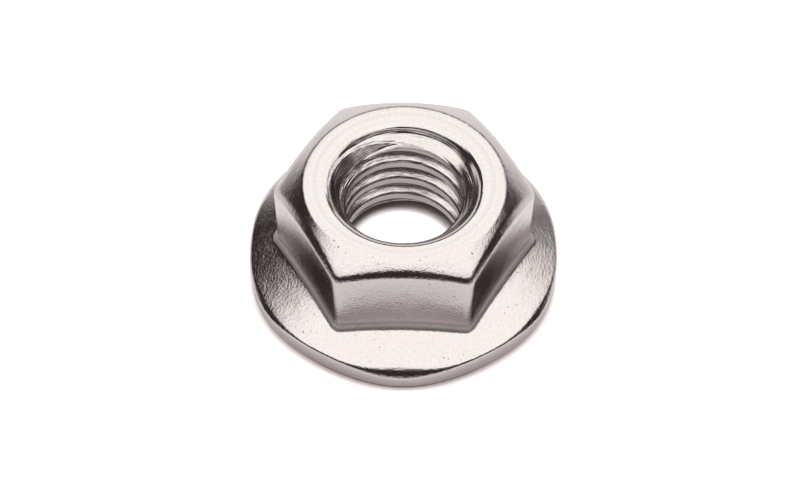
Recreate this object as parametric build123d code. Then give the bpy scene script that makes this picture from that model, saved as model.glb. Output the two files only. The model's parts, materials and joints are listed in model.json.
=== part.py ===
from build123d import *
import math
import os

# Serrated flange nut, 5/16-18 UNC, cold forged in one piece.
# Millimetres, +Z up. The origin is on the thread's axis, in the bearing plane on which
# the nut seats, and two of the hexagon's flats face along Y.

# Hexagon
across_flats = 12.6
nut_height = 6.8
hexagon_edge_radius = 0.6
hexagon_top_chamfer = 0.3

# Crown: the cone turned on the hexagon's upper end, and the flat face inside it
top_face_diameter = 11.1
crown_angle = 28.0
crown_edge_radius = 0.85

# Flange
flange_diameter = 17.8
flange_swell = 0.1
flange_top_angle = 20.0
rim_height = 1.05
rim_upper_radius = 0.35
rim_lower_chamfer = 0.1
flange_root_radius = 0.5

# Thread bore, plain at the thread's inner diameter, with a steep tapered mouth in the top
# face and a plain countersink in the bearing face
bore_diameter = 6.55
mouth_diameter = 8.35
mouth_angle = 60.0
mouth_edge_radius = 0.55
countersink_diameter = 8.5
countersink_angle = 90.0

# Serrations: ratchet grooves pressed into the bearing face
serration_count = 30
serration_inner_diameter = 9.8
serration_outer_diameter = 16.2
serration_end_length = 0.3
serration_depth = 0.28
serration_land_share = 0.2
serration_wall_angle = 12.0

# Extra reach of a cutting body past the surface that it leaves
cutter_margin = 0.5

hexagon_sides = 6
sides_apart = 360.0 / hexagon_sides


def crown_envelope():
    """Solid of revolution whose top is the flat face, its soft edge and the crown's cone."""
    face_radius = top_face_diameter / 2
    outer_radius = across_flats / math.sqrt(3) + cutter_margin
    drop = (outer_radius - face_radius) * math.tan(math.radians(crown_angle))
    outline = Polyline(
        (0, 0),
        (outer_radius, 0),
        (outer_radius, nut_height - drop),
        (face_radius, nut_height),
        (0, nut_height),
        close=True,
    )
    section = make_face(outline)
    edge_point = section.vertices().sort_by_distance((face_radius, nut_height))[0]
    section = fillet(edge_point, crown_edge_radius)
    return revolve(Plane.XZ * section, Axis.Z)


def hexagon():
    """Hexagonal prism with rounded upright edges, trimmed by the crown and chamfered below it."""
    outline = RegularPolygon(across_flats / 2, hexagon_sides, major_radius=False)
    outline = fillet(outline.vertices(), hexagon_edge_radius)
    prism = extrude(outline, nut_height)
    envelope = crown_envelope()
    body = prism & envelope
    crown_edges = new_edges(prism, envelope, combined=body)
    return chamfer(crown_edges, hexagon_top_chamfer)


def flange_outline():
    """Round outline that swells beside each flat, where the forging pressed metal outwards.

    Tighter arcs beside the flats and wider arcs beside the corners meet on common tangents,
    because their centres lie equally far from the axis, on the line through each joint.
    """
    arc_size = sides_apart / 2
    offset = flange_swell / (1 - math.cos(math.radians(arc_size / 2)))
    swell_radius = flange_diameter / 2 + flange_swell - offset
    dip_radius = flange_diameter / 2 - flange_swell + offset
    arcs = []
    for side in range(hexagon_sides):
        corner_azimuth = side * sides_apart
        flat_azimuth = corner_azimuth + sides_apart / 2
        swell_centre = Vector(offset, 0).rotate(Axis.Z, flat_azimuth)
        dip_centre = Vector(-offset, 0).rotate(Axis.Z, corner_azimuth)
        arcs.append(CenterArc(dip_centre, dip_radius, corner_azimuth - arc_size / 2, arc_size))
        arcs.append(CenterArc(swell_centre, swell_radius, flat_azimuth - arc_size / 2, arc_size))
    return make_face(arcs)


def flange():
    """Flange with a coned top, an upright rim, a rounded upper edge and a broken lower edge."""
    rim_radius = flange_diameter / 2
    outer_radius = rim_radius + flange_swell + cutter_margin
    slope = math.tan(math.radians(flange_top_angle))
    cone = Polyline(
        (0, 0),
        (outer_radius, 0),
        (outer_radius, rim_height - (outer_radius - rim_radius) * slope),
        (0, rim_height + rim_radius * slope),
        close=True,
    )
    body = revolve(Plane.XZ * make_face(cone), Axis.Z) & extrude(flange_outline(), nut_height)
    upper_edges = body.edges().filter_by(GeomType.LINE, reverse=True)
    upper_edges = upper_edges.filter_by_position(Axis.Z, rim_height / 2, nut_height)
    body = fillet(upper_edges, rim_upper_radius)
    lower_edges = body.edges().filter_by_position(Axis.Z, 0, 0)
    return chamfer(lower_edges, rim_lower_chamfer)


def blank():
    """Hexagon on its flange, with the fillet between them."""
    flange_body = flange()
    hexagon_body = hexagon()
    joined = flange_body + hexagon_body
    root = new_edges(flange_body, hexagon_body, combined=joined)
    return fillet(root, flange_root_radius)


def taper_depth(diameter, angle):
    """Depth at which a taper of this diameter at the face and included angle meets the bore."""
    return (diameter - bore_diameter) / 2 / math.tan(math.radians(angle / 2))


def taper_reach(diameter, angle):
    """Radius of the same taper where it has run on past the face by the cutter's margin."""
    return diameter / 2 + cutter_margin * math.tan(math.radians(angle / 2))


def bore():
    """Body of revolution that cuts the bore, the mouth above it and the countersink below it."""
    bore_radius = bore_diameter / 2
    top = nut_height + cutter_margin
    outline = Polyline(
        (0, -cutter_margin),
        (taper_reach(countersink_diameter, countersink_angle), -cutter_margin),
        (bore_radius, taper_depth(countersink_diameter, countersink_angle)),
        (bore_radius, nut_height - taper_depth(mouth_diameter, mouth_angle)),
        (taper_reach(mouth_diameter, mouth_angle), top),
        (0, top),
        close=True,
    )
    return revolve(Plane.XZ * make_face(outline), Axis.Z)


def groove_section(radius):
    """Groove's triangle at one radius: a steep wall beside the tooth, then the long ramp."""
    scale = radius / (serration_outer_diameter / 2)
    depth = serration_depth * scale
    pitch = 2 * math.pi * radius / serration_count
    width = pitch * (1 - serration_land_share)
    wall_run = depth * math.tan(math.radians(serration_wall_angle))
    triangle = Polyline((0, 0), (wall_run, depth), (width, 0), close=True)
    return Plane(origin=(radius, 0, 0), x_dir=(0, 1, 0), z_dir=(1, 0, 0)) * make_face(triangle)


def groove():
    """One groove, which runs out to nothing at both its ends."""
    inner_radius = serration_inner_diameter / 2
    outer_radius = serration_outer_diameter / 2
    return loft(
        [
            Vertex(inner_radius - serration_end_length, 0, 0),
            groove_section(inner_radius),
            groove_section(outer_radius),
            Vertex(outer_radius + serration_end_length, 0, 0),
        ],
        ruled=True,
    )


def serrations():
    """Ring of grooves whose steep walls face the way the nut turns when it loosens."""
    return PolarLocations(0, serration_count) * groove()


def nut():
    """The whole nut: blank, bore, rounded upper mouth and serrated bearing face."""
    body = blank() - bore()
    mouth = body.edges().filter_by(GeomType.CIRCLE).group_by(Axis.Z)[-1].sort_by(SortBy.RADIUS)[0]
    body = fillet(mouth, mouth_edge_radius)
    return body - serrations()


os.makedirs("parts", exist_ok=True)
export_step(nut(), "parts/serrated_flange_nut.step")
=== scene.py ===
import json
import math

import bmesh
import bpy
import numpy as np
from bpy.props import FloatProperty, FloatVectorProperty, IntProperty, PointerProperty
from mathutils import Euler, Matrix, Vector


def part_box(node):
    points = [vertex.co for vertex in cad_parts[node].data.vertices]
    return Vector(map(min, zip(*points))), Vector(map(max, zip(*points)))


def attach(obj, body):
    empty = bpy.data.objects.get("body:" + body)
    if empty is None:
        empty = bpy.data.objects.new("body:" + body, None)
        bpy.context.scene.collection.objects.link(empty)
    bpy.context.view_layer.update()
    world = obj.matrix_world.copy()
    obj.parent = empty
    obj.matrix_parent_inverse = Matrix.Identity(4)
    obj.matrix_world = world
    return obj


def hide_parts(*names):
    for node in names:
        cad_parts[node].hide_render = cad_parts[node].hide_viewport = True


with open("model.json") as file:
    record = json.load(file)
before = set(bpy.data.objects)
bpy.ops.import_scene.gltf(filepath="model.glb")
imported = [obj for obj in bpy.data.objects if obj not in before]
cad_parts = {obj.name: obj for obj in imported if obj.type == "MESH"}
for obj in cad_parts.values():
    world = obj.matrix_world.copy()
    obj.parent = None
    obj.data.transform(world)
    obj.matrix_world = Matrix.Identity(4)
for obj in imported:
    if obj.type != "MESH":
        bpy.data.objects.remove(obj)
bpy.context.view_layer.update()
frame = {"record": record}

bl_info = {
    "name": "Serrated flange nut",
    "version": (1, 0, 0),
    "blender": (4, 5, 0),
    "location": "3D View > Sidebar > Flange nut",
    "description": "Builds a tapped hexagon nut on a serrated flange, in bright stainless steel",
    "category": "Object",
}

NODE = "serrated_flange_nut"
BODY = "root"
NUT_LOW, NUT_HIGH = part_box(NODE)
THREAD_MOUNT = next(m for m in frame["record"]["mounts"] if m["name"] == "thread")
MM = 0.001
INCH = 25.4 * MM
SIDES = 6
THREADS_AN_INCH = 18
FRAME_WIDTH_PX = 800
FOCAL_LENGTH_PX = 1695.6

# The surface stays this much narrower than the solid, so that it lies inside the solid's box.
CLEARANCE = 0.002 * MM
# Points closer together than this are merged, and edges shorter than a tenth of it dissolved.
MERGE_DISTANCE = 0.0001 * MM
# What the thread_gap attribute holds away from the bore, in millimetres.
NO_GAP = 9.0


# ---------------------------------------------------------------------------
# Sizes and colours
# ---------------------------------------------------------------------------

def length(name, default, description):
    """One size, in metres."""
    return FloatProperty(name=name, description=description, default=default, unit="LENGTH",
                         precision=5, min=0.0)


def angle(name, degrees, description):
    """One angle, given in degrees and kept in radians."""
    return FloatProperty(name=name, description=description, default=math.radians(degrees),
                         subtype="ANGLE")


def share(name, default, description):
    """One share of a whole."""
    return FloatProperty(name=name, description=description, default=default, subtype="FACTOR",
                         min=0.0)


def colour(name, default, description):
    """One colour, as linear red, green and blue."""
    return FloatVectorProperty(name=name, description=description, default=default,
                               subtype="COLOR", size=3, min=0, max=1)


class NutSizes(bpy.types.PropertyGroup):
    """Sizes of the nut. Its height, its flange and the thread's crests come from the solid."""

    height: length("Height", NUT_HIGH.z, "From the bearing face to the top face")
    across_flats: length("Across flats", 12.6 * MM, "Width of the hexagon between two flats")
    corner_radius: length("Corner radius", 0.6 * MM, "Rounding of the hexagon's upright edges")
    hexagon_edge: length("Hexagon top edge", 1.3 * MM, "Rounding between the crown and the sides")
    face_diameter: length("Top face", 11.03 * MM, "Diameter of the flat turned face")
    crown_angle: angle("Crown slope", 28, "Slope of the crown by the top face")
    crown_radius: length("Crown edge", 0.62 * MM, "Rounding between the top face and the crown")
    crown_bulge: length("Crown bulge", 20 * MM, "Radius of the crown's faint bulge beyond its edge")
    flange_diameter: length("Flange", (NUT_HIGH.x - NUT_LOW.x + NUT_HIGH.y - NUT_LOW.y) / 2 - CLEARANCE,
                            "Mean diameter of the flange")
    flange_swell: length("Flange swell", (NUT_HIGH.y - NUT_LOW.y - NUT_HIGH.x + NUT_LOW.x) / 4,
                         "How far the flange swells beside each flat")
    flange_angle: angle("Flange slope", 20, "Slope of the flange's upper face")
    rim_height: length("Rim height", 1.05 * MM, "Height of the rim before its edge is rounded")
    rim_sharp_radius: length("Rim edge at corners", 0.3 * MM, "Rounding of the rim beside a corner")
    rim_full_radius: length("Rim edge at flats", 1.38 * MM, "Rounding of the rim beside a flat")
    rim_side_share: share("Rim edge elsewhere", 0.4, "Share of the rim's rounding at the flats off the front")
    edge_turn: angle("Edge break", 53, "Slope at which a rounded edge breaks off to the side")
    edge_break: length("Edge break radius", 0.1 * MM, "Small radius where a rounded edge breaks off")
    rim_lower_radius: length("Rim lower edge", 0.1 * MM, "Rounding of the rim's lower edge")
    root_radius: length("Root fillet", 0.5 * MM, "Fillet between the hexagon and the flange")
    thread_pitch: length("Thread pitch", INCH / THREADS_AN_INCH, "Distance between neighbouring threads")
    thread_major: length("Thread root diameter", 7.9 * MM, "Diameter at the bottom of the threads")
    thread_minor: length("Thread crest diameter", 2 * THREAD_MOUNT["dims"]["r_mm"] * MM,
                         "Diameter across the thread's crests")
    thread_flank: angle("Thread flank", 30, "Lean of a thread's flank from square to the axis")
    thread_root: share("Thread root", 0.3, "The root's share of what the flanks leave of the pitch")
    thread_flare: length("Thread flare", 0.16 * MM, "How much more its radius is at the top face")
    flare_reach: length("Flare reach", 1.0 * MM, "Depth at which the thread's flare ends")
    thread_lead: angle("Thread start", 75, "Turn of the thread about its axis")
    mouth_diameter: length("Upper mouth", 8.98 * MM, "Diameter where the bore's mouth starts to curve in")
    mouth_radius: length("Mouth curve", 0.56 * MM, "Radius of the upper mouth's curve")
    mouth_taper: angle("Mouth taper", 49, "Slope of the taper between the mouth's curve and the bore")
    mouth_shift: length("Mouth shift", 0.14 * MM, "How far the mouth lies off the axis, to the front")
    mouth_lean: share("Mouth lean", 0.3, "How much less the taper closes in on the left, per depth")
    foot_diameter: length("Lower countersink", 8.5 * MM, "Diameter of the countersink in the bearing face")
    tooth_count: IntProperty(name="Teeth", default=30, description="Serrations on the bearing face")
    tooth_inner: length("Teeth inner diameter", 9.8 * MM, "Where the teeth reach their full form")
    tooth_outer: length("Teeth outer diameter", 16.2 * MM, "Where the teeth start to run out")
    tooth_runout: length("Teeth run-out", 0.3 * MM, "Length over which a groove fades at its ends")
    tooth_depth: length("Teeth depth", 0.28 * MM, "Depth of a groove at its outer end")
    tooth_land: share("Tooth land", 0.2, "Share of each tooth that is a flat land")
    tooth_wall: angle("Tooth wall", 0.4, "Turn about the axis that a tooth's steep wall takes")


class NutColours(bpy.types.PropertyGroup):
    """Colours of the steel and the stage."""

    steel: colour("Steel", (0.60, 0.555, 0.55), "Reflectance of the bright steel")
    # Painted shade: the colour that the steel is painted in its pits, where shade falls.
    painted_pit_shade: colour("Pit colour", (0.24, 0.20, 0.19), "Colour left in the pits")
    floor: colour("Floor", (0.9, 0.9, 0.9), "Colour of the floor")
    # Tint of the painted contact shadow on the floor.
    contact: colour("Contact shadow", (1.0, 0.8, 0.8), "Tint of the floor close under the nut")
    lamp: colour("Lamps", (1.0, 0.995, 0.96), "Colour of the softbox and the side card")
    studio: colour("Studio", (0.045, 0.036, 0.036), "Colour of the dark studio above the band")
    band: colour("Horizon", (1.0, 0.96, 0.97), "Colour of the pale band round the horizon")


class StageSizes(bpy.types.PropertyGroup):
    """Sizes of the floor and the lamps, and the camera's place."""

    floor_reach: length("Floor reach", 3.0, "From the axis to the floor's edge")
    lamp_height: length("Lamp height", 0.5, "Height of the lamps above the floor")
    lamp_radiance: FloatProperty(name="Lamp radiance", default=1.55, min=0.0,
                                 description="Brightness of the lamps, where 1 is white")
    camera_target: FloatVectorProperty(name="Camera target", subtype="XYZ", unit="LENGTH", size=3,
                                       default=(-0.20286 * MM, 0, 0.57204 * MM),
                                       description="Point that the camera looks at")
    camera_distance: length("Camera distance", 97.56936 * MM, "From the camera to its target")
    camera_elevation: angle("Camera elevation", 52.49, "Angle at which the camera looks down")
    camera_heading: angle("Camera heading", 0.19, "Turn of the camera about the upright")
    camera_roll: angle("Camera roll", 0.4786, "Turn of the camera about its line of sight")


# ---------------------------------------------------------------------------
# The nut's surface: rings of points round the axis
# ---------------------------------------------------------------------------

def tooth_columns(sizes):
    """Azimuths of the columns: each tooth's steep wall takes one narrow step, and the rest of the
    tooth is cut evenly. The first column of a tooth stands on the edge of its land."""
    steps = 16
    tooth_turn = 2 * math.pi / sizes.tooth_count
    inside = np.concatenate([[0.0], np.linspace(sizes.tooth_wall, tooth_turn, steps)[:-1]])
    teeth = np.arange(sizes.tooth_count)[:, None] * tooth_turn
    return (teeth + inside[None, :]).ravel()


def hexagon_radius(azimuth, apothem, corner_radius):
    """Polar radius of a hexagon with rounded corners.

    Let a be the angle from the nearest flat's middle and b = 30 degrees - a the angle from the
    nearest corner. On the flat the radius is apothem / cos(a). Round the corner it is
    c cos(b) + sqrt(r^2 - c^2 sin^2(b)), with r the corner radius and c = (apothem - r) / cos(30).
    The apothem and the corner radius may be columns of values, which give one ring each.
    """
    half_side = math.pi / SIDES
    from_flat = np.abs((azimuth % (2 * half_side)) - half_side)
    from_corner = half_side - from_flat
    centre = (apothem - corner_radius) / math.cos(half_side)
    tangent = np.arctan2((apothem - corner_radius) * math.tan(half_side), apothem)
    flat = apothem / np.cos(from_flat)
    root = np.maximum(corner_radius**2 - (centre * np.sin(from_corner)) ** 2, 0)
    corner = centre * np.cos(from_corner) + np.sqrt(root)
    return np.where(from_flat <= tangent, flat, corner)


def rim_radius(azimuth, sizes):
    """Flange outline: mean radius - swell * cos(6 azimuth), so that it swells beside each flat."""
    return sizes.flange_diameter / 2 - sizes.flange_swell * np.cos(SIDES * azimuth)


def flange_height(radius, sizes):
    """Height of the flange's coned top: rim height + (mean radius - radius) * tan(slope)."""
    return sizes.rim_height + (sizes.flange_diameter / 2 - radius) * math.tan(sizes.flange_angle)


def crown_height(radius, sizes):
    """Height of the crown: the flat face, then an arc tangent to it, then a faintly bulging cone.

    Both arcs are circles in the section: over a radial run x, an arc of radius R that starts at the
    slope s drops by R cos(s) - sqrt(R^2 - (R sin(s) + x)^2).
    """
    slope = sizes.crown_angle
    start = sizes.face_diameter / 2 - sizes.crown_radius * math.tan(slope / 2)
    run = sizes.crown_radius * math.sin(slope)
    first = np.clip(radius - start, 0, run)
    second = np.maximum(radius - start - run, 0)
    drop = sizes.crown_radius - np.sqrt(sizes.crown_radius**2 - first**2)
    bulge = sizes.crown_bulge
    drop += bulge * math.cos(slope) - np.sqrt(bulge**2 - (bulge * math.sin(slope) + second) ** 2)
    return sizes.height - drop


def mouth_profile(sizes, steps=60):
    """Section of the upper mouth: its radius and height against its rise.

    The rise is the height itself up to the mouth's curve, and the length along the curve from
    there on. From the top face inward the curve is an arc R from the start radius r: the slope s
    gives the radius r - R sin(s) and the depth R (1 - cos(s)). The straight taper at its end is
    carried down to the bearing face, where it is far inside the bore.
    """
    turn = np.linspace(sizes.mouth_taper, 0, steps)
    arc_radius = sizes.mouth_diameter / 2 - sizes.mouth_radius * np.sin(turn)
    arc_height = sizes.height - sizes.mouth_radius * (1 - np.cos(turn))
    taper_end = arc_radius[0] - arc_height[0] / math.tan(sizes.mouth_taper)
    radius = np.concatenate([[taper_end], arc_radius])
    height = np.concatenate([[0], arc_height])
    rise = np.concatenate([[0], arc_height[0] + sizes.mouth_radius * (turn[0] - turn)])
    return rise, radius, height


def mouth_offset(azimuth, sizes):
    """How much further out the mouth lies at an azimuth, because it is off the axis to the front."""
    return -sizes.mouth_shift * np.sin(azimuth)


def mouth_lean(azimuth, height, sizes):
    """How much wider the taper is on the left: lean * depth below the curve * max(-cos(azimuth), 0)."""
    curve_end = sizes.height - sizes.mouth_radius * (1 - math.cos(sizes.mouth_taper))
    depth = np.maximum(curve_end - height, 0)
    return sizes.mouth_lean * depth * np.maximum(-np.cos(azimuth), 0)


def blend_rings(inner, outer, shares):
    """Rings between two rings: inner + share * (outer - inner), one for each share."""
    shares = np.asarray(shares)[:, None]
    return inner[None, :] * (1 - shares) + outer[None, :] * shares


def rolled_edge(slope, radius, sizes):
    """A rounded edge that breaks off to an upright side, as steps out and down from its start.

    A large arc of radius R runs from the start slope to the break, and a small arc r from there to
    upright. Up to the slope s an arc goes out by R (sin(s) - sin(start)) and down by
    R (cos(start) - cos(s)).
    """
    turn = sizes.edge_turn
    large = slope + (turn - slope) * np.linspace(0, 1, 8)[1:, None]
    out = radius * (np.sin(large) - np.sin(slope))
    down = radius * (np.cos(slope) - np.cos(large))
    small = np.linspace(turn, math.pi / 2, 5)[1:, None]
    small_out = out[-1] + sizes.edge_break * (np.sin(small) - math.sin(turn))
    small_down = down[-1] + sizes.edge_break * (math.cos(turn) - np.cos(small))
    return np.concatenate([out, small_out]), np.concatenate([down, small_down])


def crown_rings(azimuth, sizes):
    """Radius and height of the rings of the top face, the crown and the hexagon's rolled top edge.

    The roll starts inside the hexagon, where the crown's slope is s with
    sin(s) = sin(crown slope) + run / bulge.
    """
    one = np.ones_like(azimuth)
    mouth = sizes.mouth_diameter / 2 + mouth_offset(azimuth, sizes)
    start = sizes.face_diameter / 2 - sizes.crown_radius * math.tan(sizes.crown_angle / 2)
    end = start + sizes.crown_radius * math.sin(sizes.crown_angle)
    hexagon = hexagon_radius(azimuth, sizes.across_flats / 2, sizes.corner_radius)
    slope = np.arcsin(math.sin(sizes.crown_angle) + (hexagon - end) / sizes.crown_bulge)
    out, down = rolled_edge(slope, sizes.hexagon_edge, sizes)
    inner = hexagon - out[-1]
    top = np.concatenate([
        blend_rings(mouth, one * start, np.linspace(0, 1, 6)),
        blend_rings(one * start, one * end, np.linspace(0, 1, 9)[1:]),
        blend_rings(one * end, inner, np.linspace(0, 1, 6)[1:]),
    ])
    roll_height = crown_height(inner, sizes) - down
    return np.concatenate([top, inner + out]), np.concatenate([crown_height(top, sizes), roll_height])


def side_rings(azimuth, side_top, sizes):
    """Radius and height of the rings of the hexagon's sides and of the fillet at their foot.

    The fillet is an arc in the upright plane square to the side, carried round as offset hexagons.
    """
    apothem = sizes.across_flats / 2
    hexagon = hexagon_radius(azimuth, apothem, sizes.corner_radius)
    last_turn = math.pi / 2 - sizes.flange_angle
    turns = np.linspace(0, last_turn, 9)[:, None]
    offsets = sizes.root_radius * (1 - np.cos(turns))
    fillet = hexagon_radius(azimuth, apothem + offsets, sizes.corner_radius + offsets)
    foot = flange_height(fillet[-1], sizes)
    fillet_height = foot + sizes.root_radius * (math.sin(last_turn) - np.sin(turns))
    shares = np.linspace(0, 1, 8)[1:-1]
    side = blend_rings(hexagon, hexagon, shares)
    side_height = blend_rings(side_top, fillet_height[0], shares)
    return np.concatenate([side, fillet]), np.concatenate([side_height, fillet_height])


def flange_rings(azimuth, fillet_end, sizes):
    """Radius and height of the rings of the flange's coned top, and of the rim and its edges.

    The rim's rolled upper edge grows from the sharp radius to the full one with the fullness
    (0.5 - 0.5 cos(6 azimuth))^2 (s + (1 - s) max(-sin(azimuth), 0)^4), where s is the side share.
    It is fullest beside the front flat.
    """
    one = np.ones_like(azimuth)
    rim = rim_radius(azimuth, sizes)
    side = sizes.rim_side_share
    fullness = (0.5 - 0.5 * np.cos(SIDES * azimuth)) ** 2
    fullness *= side + (1 - side) * np.maximum(-np.sin(azimuth), 0) ** 4
    upper = sizes.rim_sharp_radius + (sizes.rim_full_radius - sizes.rim_sharp_radius) * fullness
    out, down = rolled_edge(sizes.flange_angle * one, upper, sizes)
    start = rim - out[-1]
    cone = blend_rings(fillet_end, start, np.linspace(0, 1, 9)[1:])
    roll_height = flange_height(start, sizes) - down

    lower = sizes.rim_lower_radius
    shares = np.linspace(0, 1, 5)[1:-1]
    side_height = blend_rings(roll_height[-1], one * lower, shares)
    turns = np.linspace(0, math.pi / 2, 6)[:, None]
    lower_edge = rim - lower + lower * np.cos(turns)
    lower_height = one * (lower - lower * np.sin(turns))
    radius = np.concatenate([cone, start + out, blend_rings(rim, rim, shares), lower_edge])
    height = np.concatenate([flange_height(cone, sizes), roll_height, side_height, lower_height])
    return radius, height


def bearing_rings(azimuth, sizes):
    """Radius and height of the rings of the serrated bearing face, in to the lower countersink."""
    outer = sizes.tooth_outer / 2
    inner = sizes.tooth_inner / 2
    fade = sizes.tooth_runout
    radius = np.concatenate([
        [outer + fade, outer + fade / 2],
        np.linspace(outer, inner, 8),
        [inner - fade / 2, inner - fade, sizes.foot_diameter / 2],
    ])[:, None] * np.ones_like(azimuth)
    return radius, groove_depth(azimuth, radius, sizes)


def outer_skin(azimuth, sizes):
    """Radius and height of each ring, from the upper mouth over the top and down to the bearing face."""
    crown = crown_rings(azimuth, sizes)
    side = side_rings(azimuth, crown[1][-1], sizes)
    flange = flange_rings(azimuth, side[0][-1], sizes)
    bearing = bearing_rings(azimuth, sizes)
    radii, heights = zip(crown, side, flange, bearing)
    return np.concatenate(radii), np.concatenate(heights)


def groove_depth(azimuth, radius, sizes):
    """Depth of the serrations at an azimuth and a radius.

    Within a tooth the depth jumps to full at the steep wall and falls evenly along the ramp to the
    next land. Full depth grows with the radius, and fades to nothing over the run-out.
    """
    tooth_turn = 2 * math.pi / sizes.tooth_count
    wall_turn = sizes.tooth_wall
    along = azimuth % tooth_turn
    ramp_end = tooth_turn * (1 - sizes.tooth_land)
    ramp = np.clip((ramp_end - along) / (ramp_end - wall_turn), 0, 1)
    form = np.where(along < wall_turn / 2, 0.0, ramp)
    outer = sizes.tooth_outer / 2
    inner = sizes.tooth_inner / 2
    fade_in = np.clip((radius - inner) / sizes.tooth_runout + 1, 0, 1)
    fade_out = np.clip((outer - radius) / sizes.tooth_runout + 1, 0, 1)
    return sizes.tooth_depth * (radius / outer) * form * fade_in * fade_out


def thread_breaks(sizes):
    """Phases at which the root ends and the crest starts, both from the middle of the root.

    A flank takes depth * tan(flank angle) of the pitch. The root has its share of what the two
    flanks leave, and the crest has the rest.
    """
    depth = (sizes.thread_major - sizes.thread_minor) / 2
    flank = depth * math.tan(sizes.thread_flank) / sizes.thread_pitch
    root_end = (1 - 2 * flank) * sizes.thread_root / 2
    return root_end, root_end + flank


def thread_profile(phase, sizes):
    """Radius of the internal thread against its phase, which runs from 0 to 1 over one pitch.

    The flat crest lies about phase 0 and the flat root about phase 0.5. Along a flank the radius
    changes evenly.
    """
    crest = sizes.thread_minor / 2
    root = sizes.thread_major / 2
    root_end, crest_start = thread_breaks(sizes)
    from_root = np.abs(phase - 0.5)
    along = np.clip((from_root - root_end) / (crest_start - root_end), 0, 1)
    return root + (crest - root) * along


def thread_phases(sizes):
    """Phases of the profile's points: the ends of each flat and flank, with some between them."""
    root_end, crest_start = thread_breaks(sizes)
    corners = [0.0, 0.5 - crest_start, 0.5 - root_end, 0.5 + root_end, 0.5 + crest_start, 1.0]
    cuts = [3, 5, 2, 5, 3]
    pieces = [np.linspace(a, b, n + 1)[:-1] for a, b, n in zip(corners[:-1], corners[1:], cuts)]
    return np.concatenate(pieces)


def bore_skin(azimuth, sizes):
    """The tapped bore as one profile carried along a helix, cut off by the mouth and countersink.

    Row j of a column at azimuth a stands at the rise (j + a / turn) * pitch, so that the crests run
    along the grid. The radius is the largest of the thread's, taken at the point's true height,
    the upper mouth's and the lower countersink's. Rises past an end are held at the end, where
    the rows fall together and are merged, and a spare turn at each end makes up for their lean.

    Also gives the gap, which is how far the mouth lies outside the thread, in millimetres, and is
    zero along the line where the mouth cuts the thread, and the number of rows in a turn.
    """
    phases = thread_phases(sizes)
    rows_a_turn = len(phases)
    rises, radii, heights = mouth_profile(sizes)
    turns = math.ceil(rises[-1] / sizes.thread_pitch) + 2
    row_turns = (np.arange(turns)[:, None] - 1 + phases[None, :]).ravel()
    lead = (azimuth - sizes.thread_lead) / (2 * math.pi)
    rise = np.clip((row_turns[:, None] + lead[None, :]) * sizes.thread_pitch, 0, rises[-1])
    height = np.interp(rise, rises, heights)
    mouth = np.interp(rise, rises, radii) + mouth_offset(azimuth, sizes)
    mouth += mouth_lean(azimuth, height, sizes)
    countersink = sizes.foot_diameter / 2 - height
    thread = thread_profile((height / sizes.thread_pitch - lead[None, :]) % 1.0, sizes)
    depth = sizes.height - height
    thread += sizes.thread_flare * np.maximum(1 - depth / sizes.flare_reach, 0)
    radius = np.maximum(np.maximum(mouth, countersink), thread)
    gap = (mouth - thread) / MM
    return radius, height, gap, rows_a_turn


def grid_faces(first, rows, columns, seam_shift=0):
    """Quads of a closed grid of rings. At the seam the last column joins the first one, seam_shift
    rows further on, so that a helix carries on into its next turn. Quads that would reach past the
    last row are left out."""
    row, column = np.meshgrid(np.arange(rows - 1), np.arange(columns), indexing="ij")
    beside = (column + 1) % columns
    shift = np.where(column + 1 == columns, seam_shift, 0)
    low = first + row * columns + column
    low_beside = first + (row + shift) * columns + beside
    high = first + (row + 1) * columns + column
    high_beside = first + (row + 1 + shift) * columns + beside
    faces = np.stack([low, low_beside, high_beside, high], -1).reshape(-1, 4)
    inside = faces.max(1) < first + rows * columns
    return faces[inside]


def ring_points(radius, height, azimuth):
    """Points (r cos a, r sin a, z) of a grid of rings."""
    return np.stack([radius * np.cos(azimuth), radius * np.sin(azimuth), height], -1).reshape(-1, 3)


def make_mesh(name, points, faces, gaps):
    """Smooth mesh from arrays of points and quads, with points that fall together merged and the
    faces turned outwards. The gaps become the points' attribute thread_gap."""
    mesh = bpy.data.meshes.new(name)
    mesh.from_pydata(points.tolist(), [], faces.tolist())
    mesh.attributes.new("thread_gap", "FLOAT", "POINT").data.foreach_set("value", gaps)
    work = bmesh.new()
    work.from_mesh(mesh)
    bmesh.ops.remove_doubles(work, verts=work.verts, dist=MERGE_DISTANCE)
    bmesh.ops.dissolve_degenerate(work, edges=work.edges, dist=MERGE_DISTANCE / 10)
    bmesh.ops.recalc_face_normals(work, faces=work.faces)
    work.to_mesh(mesh)
    work.free()
    mesh.polygons.foreach_set("use_smooth", np.ones(len(mesh.polygons), bool))
    mesh.update()
    return mesh


# ---------------------------------------------------------------------------
# Materials
# ---------------------------------------------------------------------------

def new_material(name):
    """Node material with only its output."""
    material = bpy.data.materials.new(name)
    material.use_nodes = True
    tree = material.node_tree
    tree.nodes.clear()
    output = tree.nodes.new("ShaderNodeOutputMaterial")
    return material, tree, output


def add_node(tree, kind, inputs=(), **settings):
    """Add a node, set its properties, and set or link its inputs by name or by number."""
    node = tree.nodes.new(kind)
    for name, value in settings.items():
        setattr(node, name, value)
    for socket, value in dict(inputs).items():
        if isinstance(value, bpy.types.NodeSocket):
            tree.links.new(value, node.inputs[socket])
        else:
            node.inputs[socket].default_value = value
    return node


def math_node(tree, operation, first, second=0.0, third=0.0):
    """Output of one math node."""
    node = add_node(tree, "ShaderNodeMath", {0: first, 1: second, 2: third}, operation=operation)
    return node.outputs[0]


def product(tree, *values):
    """Output of the math nodes that multiply all the values together."""
    result = values[0]
    for value in values[1:]:
        result = math_node(tree, "MULTIPLY", result, value)
    return result


def excess(tree, value, limit=0.0):
    """Output of max(value - limit, 0)."""
    return math_node(tree, "MAXIMUM", math_node(tree, "SUBTRACT", value, limit), 0.0)


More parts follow.
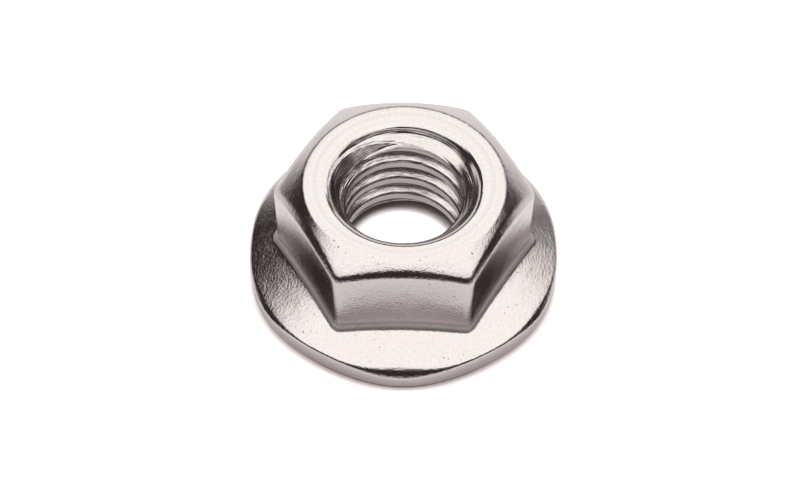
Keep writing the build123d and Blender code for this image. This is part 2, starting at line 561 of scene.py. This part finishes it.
def ramp_node(tree, value, low, high, low_result=0.0, high_result=1.0, kind="LINEAR"):
    """Output of a clamped map range: low_result up to low, and high_result from high on."""
    node = add_node(tree, "ShaderNodeMapRange", {
        "Value": value, "From Min": low, "From Max": high,
        "To Min": low_result, "To Max": high_result,
    }, interpolation_type=kind)
    return node.outputs["Result"]


def noise_node(tree, vector, scale, detail, roughness=0.5):
    """Output of a noise of a given scale, in features a metre."""
    node = add_node(tree, "ShaderNodeTexNoise", {
        "Vector": vector, "Scale": scale, "Detail": detail, "Roughness": roughness,
    })
    return node.outputs["Fac"]


def mix_colours(tree, factor, first, second):
    """Output of a mix of two plain colours."""
    node = add_node(tree, "ShaderNodeMix", {
        "Factor": factor, "A": (*first, 1), "B": (*second, 1),
    }, data_type="RGBA")
    return node.outputs["Result"]


def axis_place(tree):
    """Object coordinates of a point, its x, its height and its distance from the axis."""
    place = add_node(tree, "ShaderNodeTexCoord").outputs["Object"]
    split = add_node(tree, "ShaderNodeSeparateXYZ", {0: place}).outputs
    flat = add_node(tree, "ShaderNodeCombineXYZ", {"X": split["X"], "Y": split["Y"]}).outputs[0]
    radius = add_node(tree, "ShaderNodeVectorMath", {0: flat}, operation="LENGTH").outputs["Value"]
    return place, split["X"], split["Z"], radius


def crease_mask(tree, height, radius, sizes):
    """Mask of the crease at the hexagon's foot, where shade is painted and the steel is duller: a band that
    starts just above the flange's cone.

    On the cone, height + radius * tan(slope) is the same everywhere, and the band is cut from it.
    """
    band_start = (0.004 * MM, 0.03 * MM)
    band_end = (0.3 * MM, 0.5 * MM)
    top = (2.5 * MM, 2.8 * MM)
    slope = math.tan(sizes.flange_angle)
    cone = sizes.rim_height + sizes.flange_diameter / 2 * slope
    level = math_node(tree, "MULTIPLY_ADD", radius, slope, height)
    started = ramp_node(tree, level, cone + band_start[0], cone + band_start[1])
    going = ramp_node(tree, level, cone + band_end[0], cone + band_end[1], 1.0, 0.0)
    return product(tree, started, going, ramp_node(tree, height, *top, 1.0, 0.0))


def pit_mask(tree, place, patches):
    """Mask of small round pits, which gather where the patches are strong."""
    cells = add_node(tree, "ShaderNodeTexVoronoi", {"Vector": place, "Scale": 2900})
    near = ramp_node(tree, cells.outputs["Distance"], 0.08, 0.17, 1.0, 0.0)
    return product(tree, near, ramp_node(tree, patches, 0.48, 0.62))


def tool_cut(tree, across, height, turned, bored, sizes):
    """How deep the turning tool's rings are, in shares of the bump's distance.

    They are shallow all over the turned part. In the bore, from just under the top face down,
    1.2 is added, and 0.5 more for each millimetre to the left of the axis.
    """
    shallow = 0.45
    deep = 1.2
    deeper_a_metre = 0.5 / MM
    lean = 0.1
    start = (sizes.height - 0.35 * MM, sizes.height - 0.15 * MM)
    left = math_node(tree, "MAXIMUM", math_node(tree, "MULTIPLY", across, -1.0), 0.0)
    level = math_node(tree, "MULTIPLY_ADD", across, lean, height)
    sunk = ramp_node(tree, level, *start, 1.0, 0.0)
    cut = product(tree, math_node(tree, "MULTIPLY_ADD", left, deeper_a_metre, deep), bored, sunk)
    return product(tree, math_node(tree, "ADD", cut, shallow), turned)


def burr_normal(tree):
    """Surface normal, turned up to the sky along the burr where the mouth cuts the thread."""
    burr_width = (0.03, 0.1)
    most = 0.97
    gap = add_node(tree, "ShaderNodeAttribute", attribute_name="thread_gap").outputs["Fac"]
    burr = ramp_node(tree, math_node(tree, "ABSOLUTE", gap), *burr_width, most, 0.0)
    facing = add_node(tree, "ShaderNodeNewGeometry").outputs["Normal"]
    # By number, the mix node's factor, its two vectors, and its vector output.
    mixed = add_node(tree, "ShaderNodeMix", {0: burr, 4: facing, 5: (0, 0, 1)}, data_type="VECTOR")
    return mixed.outputs[1]


def bright_steel(sizes, colours):
    """Bright stainless steel, turned on its face and in the bore, and grainy where it was forged.

    The turned part lies within a radius of the axis. Its rings are a noise of the radius and the height
    alone, so that they run round the axis. The forged part has a deeper grain, with small pits whose colour
    is painted dark as shade. The crease at the hexagon's foot is duller, and its colour is darkened as
    painted shade.
    """
    material, tree, output = new_material("bright_steel")
    place, across, height, radius = axis_place(tree)
    forged_from = (5.2 * MM, 5.5 * MM)
    bored_to = (4.15 * MM, 4.35 * MM)
    forged = ramp_node(tree, radius, *forged_from)
    turned = math_node(tree, "SUBTRACT", 1.0, forged)
    bored = ramp_node(tree, radius, *bored_to, 1.0, 0.0)
    crease = product(tree, crease_mask(tree, height, radius, sizes), forged)

    # Noises, each with its scale in features a metre and its detail.
    section = add_node(tree, "ShaderNodeCombineXYZ", {"X": radius, "Y": height}).outputs[0]
    fine_rings = noise_node(tree, section, 9000, 2)
    broad_rings = noise_node(tree, section, 2600, 3)
    waves = noise_node(tree, place, 900, 1)
    grain = noise_node(tree, place, 7500, 3, 0.65)
    patches = noise_node(tree, place, 700, 2)
    pits = product(tree, pit_mask(tree, place, patches), forged)

    # Colour: the steel's own, painted shade in the pits and in the crease, and a grey tone that follows the
    # rings and the grain.
    ring_shade = math_node(tree, "SUBTRACT", ramp_node(tree, broad_rings, 0.3, 0.7, 0.93, 1.04), 1.0)
    ring_shade = math_node(tree, "MULTIPLY_ADD", ring_shade, turned, 1.0)
    grain_shade = ramp_node(tree, grain, 0.3, 0.7, 0.93, 1.05)
    # Painted shade: the crease's colour is darkened by four tenths.
    crease_painted_shade = math_node(tree, "MULTIPLY_ADD", crease, -0.4, 1.0)
    shade = product(tree, ring_shade, grain_shade, crease_painted_shade)
    grey = add_node(tree, "ShaderNodeCombineXYZ", {0: shade, 1: shade, 2: shade}).outputs[0]
    # Painted shade in the pits: the steel's colour is mixed towards the dark pit colour.
    tint = mix_colours(tree, pits, colours.steel, colours.painted_pit_shade)
    painted = add_node(tree, "ShaderNodeVectorMath", {0: tint, 1: grey}, operation="MULTIPLY")

    # Relief: waves and grain, the turning tool's rings, and the pits sunk in.
    bump_distance = 0.012 * MM
    forged_grain = product(tree, grain, math_node(tree, "MULTIPLY_ADD", forged, 0.85, 0.25))
    relief = math_node(tree, "MULTIPLY_ADD", waves, 1.1, forged_grain)
    cut = tool_cut(tree, across, height, turned, bored, sizes)
    relief = math_node(tree, "MULTIPLY_ADD", fine_rings, cut, relief)
    relief = math_node(tree, "MULTIPLY_ADD", pits, -0.4, relief)
    bump = add_node(tree, "ShaderNodeBump", {
        "Height": relief, "Strength": 1.0, "Distance": bump_distance, "Normal": burr_normal(tree),
    })

    rough = ramp_node(tree, patches, 0.3, 0.7, 0.07, 0.14)
    rough = math_node(tree, "MULTIPLY_ADD", crease, 0.35, rough)
    rough = math_node(tree, "MULTIPLY_ADD", bored, 0.06, rough)
    shader = add_node(tree, "ShaderNodeBsdfPrincipled", {
        "Base Color": painted.outputs[0], "Metallic": 1.0, "Roughness": rough,
        "Normal": bump.outputs[0],
    })
    tree.links.new(shader.outputs[0], output.inputs["Surface"])
    return material


def contact_light(tree, colours, rays):
    """How much of the floor's colour and glow is left by the painted contact shadow: 1 in the open, and less
    where the nut stands close above.

    Occlusion takes nearly all of it. For rays other than the camera's at least 0.65 is left. The
    shadow is full in front of the nut and in its bore, and three tenths as strong from the axis
    back.
    """
    reach = 1.1 * MM
    shadow = (0.46, 0.84)
    darkest = 0.04
    least_unseen = 0.65
    front_to_middle = (-8 * MM, 0.0)
    strength_behind = 0.3
    under_bore = (4.5 * MM, 5 * MM)
    occlusion = add_node(tree, "ShaderNodeAmbientOcclusion", {
        "Color": (*colours.floor, 1), "Distance": reach,
    }, samples=8)
    light = ramp_node(tree, occlusion.outputs["AO"], *shadow, darkest, 1.0)
    unseen = math_node(tree, "MULTIPLY_ADD", rays["Is Camera Ray"], -least_unseen, least_unseen)
    light = math_node(tree, "MAXIMUM", light, unseen)
    place = add_node(tree, "ShaderNodeTexCoord").outputs["Object"]
    back = add_node(tree, "ShaderNodeSeparateXYZ", {0: place}).outputs["Y"]
    radius = add_node(tree, "ShaderNodeVectorMath", {0: place}, operation="LENGTH").outputs["Value"]
    strength = math_node(tree, "MAXIMUM", ramp_node(tree, back, *front_to_middle, 1.0, strength_behind),
                         ramp_node(tree, radius, *under_bore, 1.0, 0.0))
    taken = product(tree, math_node(tree, "SUBTRACT", 1.0, light), strength)
    return math_node(tree, "SUBTRACT", 1.0, taken)


def pale_floor(colours):
    """White floor. Seen directly, in gloss or through glass it also glows, so that it reads as white. Colour
    and glow fade, with a warm tint, where the nut stands close above, which paints the contact shadow onto
    the floor."""
    material, tree, output = new_material("pale_floor")
    rays = add_node(tree, "ShaderNodeLightPath").outputs
    light = contact_light(tree, colours, rays)
    tint = mix_colours(tree, light, colours.contact, (1.0, 1.0, 1.0))
    # Painted shadow: the floor's colour is dimmed and tinted close under the nut.
    dimmed = add_node(tree, "ShaderNodeVectorMath", {0: colours.floor, "Scale": light}, operation="SCALE")
    dimmed = add_node(tree, "ShaderNodeVectorMath", {0: dimmed.outputs[0], 1: tint}, operation="MULTIPLY")
    cloth = add_node(tree, "ShaderNodeBsdfDiffuse", {"Color": dimmed.outputs[0]})

    glossy_share = 0.3
    seen = math_node(tree, "ADD", rays["Is Camera Ray"], rays["Is Transmission Ray"])
    seen = math_node(tree, "MULTIPLY_ADD", rays["Is Glossy Ray"], glossy_share, seen)
    glow = add_node(tree, "ShaderNodeEmission", {"Color": tint, "Strength": product(tree, seen, light)})
    total = add_node(tree, "ShaderNodeAddShader", {0: cloth.outputs[0], 1: glow.outputs[0]})
    tree.links.new(total.outputs[0], output.inputs["Surface"])
    return material


def studio_world(colours):
    """Dark studio above a pale band that runs round the horizon.

    A direction (x, y, z) is pale where z is below
    0.27 + 0.15 max(x, 0) max(y, 0) + 1.6 max(y - 0.75, 0) + 0.1 max(-y, 0) - 4 max(|x| - 0.93, 0),
    with a soft edge. So the band is highest at the back, and goes down at both sides.
    """
    world = bpy.data.worlds.new("studio")
    world.use_nodes = True
    tree = world.node_tree
    direction = add_node(tree, "ShaderNodeTexCoord").outputs["Generated"]
    split = add_node(tree, "ShaderNodeSeparateXYZ", {0: direction}).outputs
    to_front = math_node(tree, "MULTIPLY", split["Y"], -1.0)
    to_side = math_node(tree, "ABSOLUTE", split["X"])
    terms = (
        (product(tree, excess(tree, split["X"]), excess(tree, split["Y"])), 0.15),
        (excess(tree, split["Y"], 0.75), 1.6),
        (excess(tree, to_front), 0.1),
        (excess(tree, to_side, 0.93), -4.0),
    )
    level = split["Z"]
    for term, amount in terms:
        level = math_node(tree, "MULTIPLY_ADD", term, -amount, level)
    soft_edge = (0.24, 0.30)
    band = ramp_node(tree, level, *soft_edge, 1.0, 0.0, "SMOOTHSTEP")
    background = tree.nodes["Background"]
    background.inputs["Strength"].default_value = 1.0
    tree.links.new(mix_colours(tree, band, colours.studio, colours.band), background.inputs["Color"])
    return world


# ---------------------------------------------------------------------------
# Stage
# ---------------------------------------------------------------------------

def add_object(scene, name, data):
    """Object of the given data, linked into the scene."""
    thing = bpy.data.objects.new(name, data)
    scene.collection.objects.link(thing)
    return thing


def add_floor(scene):
    """Square floor in the plane that the nut rests on."""
    reach = scene.stage_sizes.floor_reach
    corners = [(-reach, -reach, 0), (reach, -reach, 0), (reach, reach, 0), (-reach, reach, 0)]
    mesh = bpy.data.meshes.new("floor")
    mesh.from_pydata(corners, [], [(0, 1, 2, 3)])
    mesh.materials.append(pale_floor(scene.nut_colours))
    floor = add_object(scene, "floor", mesh)
    floor.location = (0, 0, NUT_LOW.z)


def add_lamp(scene, name, west, east, south, north):
    """Rectangular lamp that faces down. Its edges are given as shares of its height."""
    sizes = scene.stage_sizes
    height = sizes.lamp_height
    lamp = bpy.data.lights.new(name, "AREA")
    lamp.shape = "RECTANGLE"
    lamp.size = (east - west) * height
    lamp.size_y = (north - south) * height
    lamp.color = scene.nut_colours.lamp
    lamp.energy = sizes.lamp_radiance * math.pi * lamp.size * lamp.size_y
    thing = add_object(scene, name, lamp)
    thing.location = ((west + east) / 2 * height, (south + north) / 2 * height, height)


def add_camera(scene):
    """Camera that looks down at the nut from the front."""
    sizes = scene.stage_sizes
    camera_data = bpy.data.cameras.new("camera")
    camera_data.sensor_width = 36
    camera_data.lens = FOCAL_LENGTH_PX * camera_data.sensor_width / FRAME_WIDTH_PX
    camera_data.clip_start = 0.001
    camera_data.clip_end = 20
    camera = add_object(scene, "camera", camera_data)
    turn = Euler((math.pi / 2 - sizes.camera_elevation, 0, sizes.camera_heading)).to_matrix()
    turn = turn @ Euler((0, 0, sizes.camera_roll)).to_matrix()
    camera.rotation_euler = turn.to_euler()
    camera.location = Vector(sizes.camera_target) + turn @ Vector((0, 0, sizes.camera_distance))
    scene.camera = camera


# ---------------------------------------------------------------------------
# Operators
# ---------------------------------------------------------------------------

class BuildNut(bpy.types.Operator):
    """Build the nut as one closed surface and stand it in for the solid"""

    bl_idname = "flange_nut.build_nut"
    bl_label = "Nut"

    def execute(self, context):
        sizes = context.scene.nut_sizes
        azimuth = tooth_columns(sizes)
        radius, height = outer_skin(azimuth, sizes)
        outer_points = ring_points(radius, height, azimuth)
        outer_faces = grid_faces(0, len(radius), len(azimuth))
        bore_radius, bore_height, bore_gap, rows_a_turn = bore_skin(azimuth, sizes)
        bore_points = ring_points(bore_radius, bore_height, azimuth)
        bore_faces = grid_faces(len(outer_points), len(bore_radius), len(azimuth), rows_a_turn)
        no_gap = np.full(len(outer_points), NO_GAP)
        mesh = make_mesh("flange_nut", np.concatenate([outer_points, bore_points]),
                         np.concatenate([outer_faces, bore_faces]),
                         np.concatenate([no_gap, bore_gap.ravel()]))
        nut = add_object(context.scene, "flange_nut", mesh)
        mesh.materials.append(bright_steel(sizes, context.scene.nut_colours))
        weighted = nut.modifiers.new("even_shading", "WEIGHTED_NORMAL")
        weighted.weight = 80
        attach(nut, BODY)
        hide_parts(NODE)
        return {"FINISHED"}


class BuildStage(bpy.types.Operator):
    """Lay the pale floor, and set the lamps, the world and the camera"""

    bl_idname = "flange_nut.build_stage"
    bl_label = "Stage"

    def execute(self, context):
        scene = context.scene
        add_floor(scene)
        scene.world = studio_world(scene.nut_colours)
        add_lamp(scene, "softbox", west=-0.7, east=1.0, south=-0.51, north=1.18)
        add_lamp(scene, "side_card", west=-0.98, east=-0.7, south=-0.51, north=0.2)
        add_camera(scene)
        scene.view_settings.view_transform = "Standard"
        return {"FINISHED"}


class NutPanel(bpy.types.Panel):
    """Sizes, colours and build buttons of the flange nut"""

    bl_idname = "VIEW3D_PT_flange_nut"
    bl_label = "Flange nut"
    bl_space_type = "VIEW_3D"
    bl_region_type = "UI"
    bl_category = "Flange nut"

    def draw(self, context):
        layout = self.layout
        scene = context.scene
        for group in (scene.nut_sizes, scene.nut_colours, scene.stage_sizes):
            for name in group.__annotations__:
                layout.prop(group, name)
        for operator in OPERATORS:
            layout.operator(operator.bl_idname, text=operator.bl_label)


OPERATORS = (BuildNut, BuildStage)
CLASSES = (NutSizes, NutColours, StageSizes, *OPERATORS, NutPanel)


def register():
    """Register the classes and hang the sizes and colours on the scene."""
    for cls in CLASSES:
        bpy.utils.register_class(cls)
    bpy.types.Scene.nut_sizes = PointerProperty(type=NutSizes)
    bpy.types.Scene.nut_colours = PointerProperty(type=NutColours)
    bpy.types.Scene.stage_sizes = PointerProperty(type=StageSizes)


def unregister():
    """Take the sizes and colours off the scene again, and unregister the classes."""
    del bpy.types.Scene.stage_sizes
    del bpy.types.Scene.nut_colours
    del bpy.types.Scene.nut_sizes
    for cls in reversed(CLASSES):
        bpy.utils.unregister_class(cls)


def main():
    """Build everything in order."""
    register()
    bpy.ops.flange_nut.build_nut()
    bpy.ops.flange_nut.build_stage()


if __name__ == "__main__":
    main()
